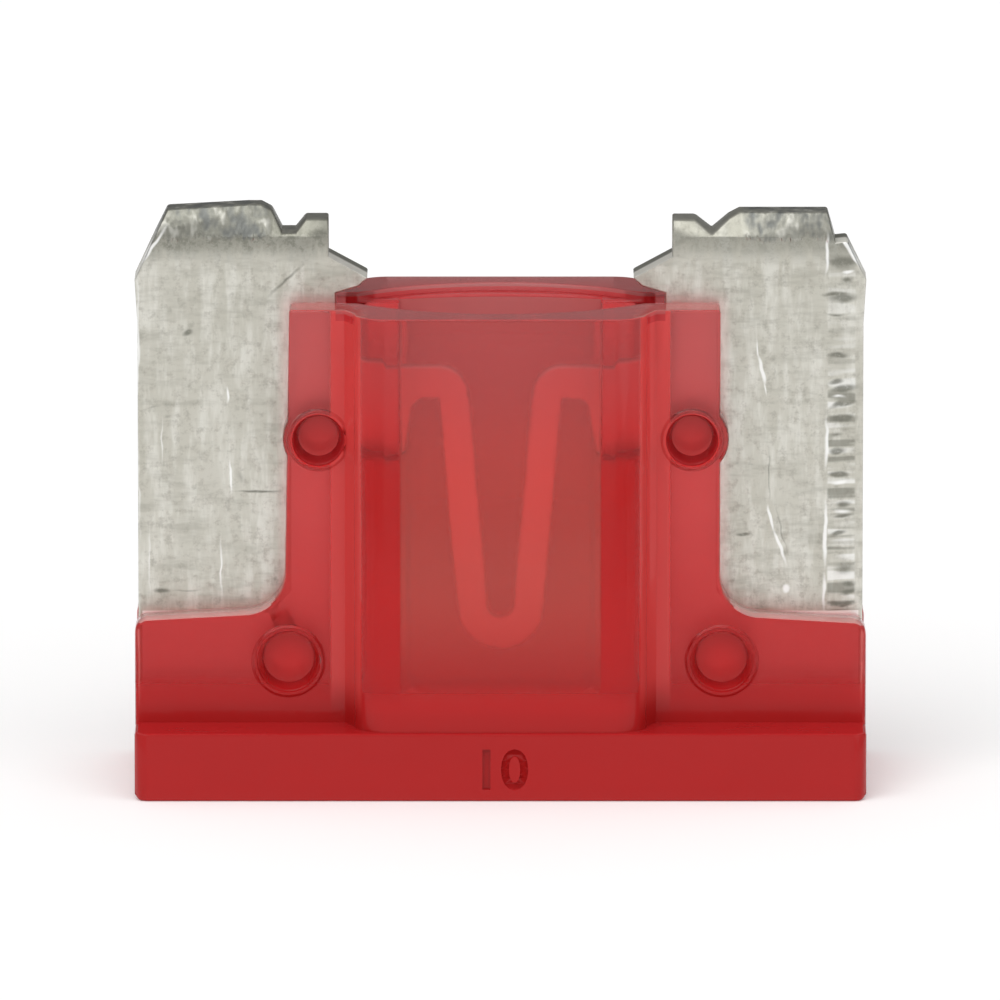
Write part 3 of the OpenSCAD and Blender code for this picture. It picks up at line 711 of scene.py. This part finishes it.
def worn_colour(tree, y, pattern, mark):
    """Streaks, pits, rungs and hammer marks show where their noise is high or low, the rest by its mask."""
    rungs, hammered = pattern["rungs"], pattern["hammered"]
    return paint(tree, blend(tree, pattern["clouds"], CLOUD_DARK, CLOUD_LIGHT), (
        (ramp(tree, pattern["along"], *STREAKS_SHOW), STREAK),
        (ramp(tree, pattern["across"], *CROSS_STREAKS_SHOW), CROSS_STREAK),
        (ramp(tree, pattern["pits"], *PITS_SHOW), PIT),
        (product(tree, mark["ladder"], ramp(tree, rungs, *DARK_RUNGS_SHOW)), SCRATCH_DARK),
        (product(tree, mark["ladder"], ramp(tree, rungs, *BRIGHT_RUNGS_SHOW)), BRIGHT_MARK_AND_HIGHLIGHT),
        # Dirt near the tips, and painted shade over the bevels at the top
        (mark["soil_and_shade"], SOIL_AND_SHADE),
        (product(tree, mark["tip"], ramp(tree, hammered, *DENTS_SHOW)), HAMMERED),
        (product(tree, mark["tip"], ramp(tree, hammered, *FACETS_SHOW)), STREAK),
        (product(tree, mark["dark"], DARK_SHARE), SCRATCH_DARK),
        # Bright scratches and painted highlights
        (product(tree, mark["bright"], BRIGHT_SHARE), BRIGHT_MARK_AND_HIGHLIGHT),
        (mark["cut"], blend(tree, ramp(tree, y, *TEAR_DEPTHS), BURNISHED, TORN)),
        (mark["glow"], PINK_GLOW)))


# %% [markdown]
# The streaks and the hammer marks also go into the height of the surface, so that they catch the light.
# Where the housing covers the strip, a second, plainer shader paints the metal much paler than the bare
# blades: painted light, standing in for the light that the plastic walls hold back.

# %% Zinc
STREAK_HEIGHT, CROSS_HEIGHT, HAMMER_HEIGHT, RELIEF = 0.5, 0.4, 2.5, 0.012 * MM
WORN_ROUGHNESS, CUT_COARSER, COVERED_ROUGHNESS = (0.35, 0.7, 0.34, 0.48), 0.2, 0.4
# Painted light: the covered metal's colours, far paler than the bare zinc's
BRIGHTENED_DARK, BRIGHTENED_LIGHT = (0.92, 0.91, 0.88, 1), (0.98, 0.97, 0.94, 1)
# The cheeks cover the strip up to this far from their middle, the shoulders up to this far out, and the
# inside corner between them where both distances add up to less than the last value
CHEEK_SIDE, CHEEK_TOP, SHOULDER_TOP, SHOULDER_SIDE, INSIDE_CORNER = 3.17, 7.26, 2.6, 5.35, 6.1


def covered_by_plastic(tree, x, z, middle):
    """1 where the plastic covers the metal."""
    cheeks = product(tree, maths(tree, "LESS_THAN", middle, CHEEK_SIDE),
                     maths(tree, "LESS_THAN", z, CHEEK_TOP))
    shoulders = product(tree, maths(tree, "LESS_THAN", z, SHOULDER_TOP),
                        maths(tree, "LESS_THAN", maths(tree, "ABSOLUTE", x), SHOULDER_SIDE))
    corner = maths(tree, "LESS_THAN", maths(tree, "ADD", middle, z), INSIDE_CORNER)
    return maths(tree, "MAXIMUM", corner, maths(tree, "MAXIMUM", cheeks, shoulders))


def zinc():
    material = bpy.data.materials.new("rolled_zinc")
    material.use_nodes = True
    tree = material.node_tree
    tree.nodes.clear()
    where, x, y, z = millimetres(tree)
    pattern = {name: noise(tree, where, *settings) for name, settings in PATTERNS.items()}
    mark = wear(tree, where, x, y, z, pattern)
    streaks = maths(tree, "ADD", product(tree, pattern["along"], STREAK_HEIGHT),
                    product(tree, pattern["across"], CROSS_HEIGHT))
    hammering = product(tree, pattern["hammered"], mark["tip"])
    height = maths(tree, "MULTIPLY_ADD", hammering, HAMMER_HEIGHT, streaks)
    normal = put(tree, "ShaderNodeBump", {"Height": height, "Strength": 1.0, "Distance": RELIEF})
    dull = ramp(tree, pattern["pits"], *WORN_ROUGHNESS)
    dull = maths(tree, "MULTIPLY_ADD", mark["cut"], CUT_COARSER, dull)
    worn = put(tree, "ShaderNodeBsdfPrincipled", {"Base Color": worn_colour(tree, y, pattern, mark),
               "Metallic": 1.0, "Roughness": dull, "Normal": normal.outputs[0]})
    # Painted light: the metal under the plastic is lifted to a much paler grey
    bright = put(tree, "ShaderNodeBsdfPrincipled", {"Base Color": blend(tree, pattern["clouds"], BRIGHTENED_DARK,
                 BRIGHTENED_LIGHT), "Metallic": 1.0, "Roughness": COVERED_ROUGHNESS})
    metal = put(tree, "ShaderNodeMixShader", {0: covered_by_plastic(tree, x, z, mark["middle"]), 1: worn.outputs[0],
                2: bright.outputs[0]})
    put(tree, "ShaderNodeOutputMaterial", {"Surface": metal.outputs[0]})
    return material


for piece, material in ((shell, red_plastic()), (stamping, zinc())):
    piece.data.materials.clear()
    piece.data.materials.append(material)
    print(piece.name, "wears", material.name, "with", len(material.node_tree.nodes), "nodes")
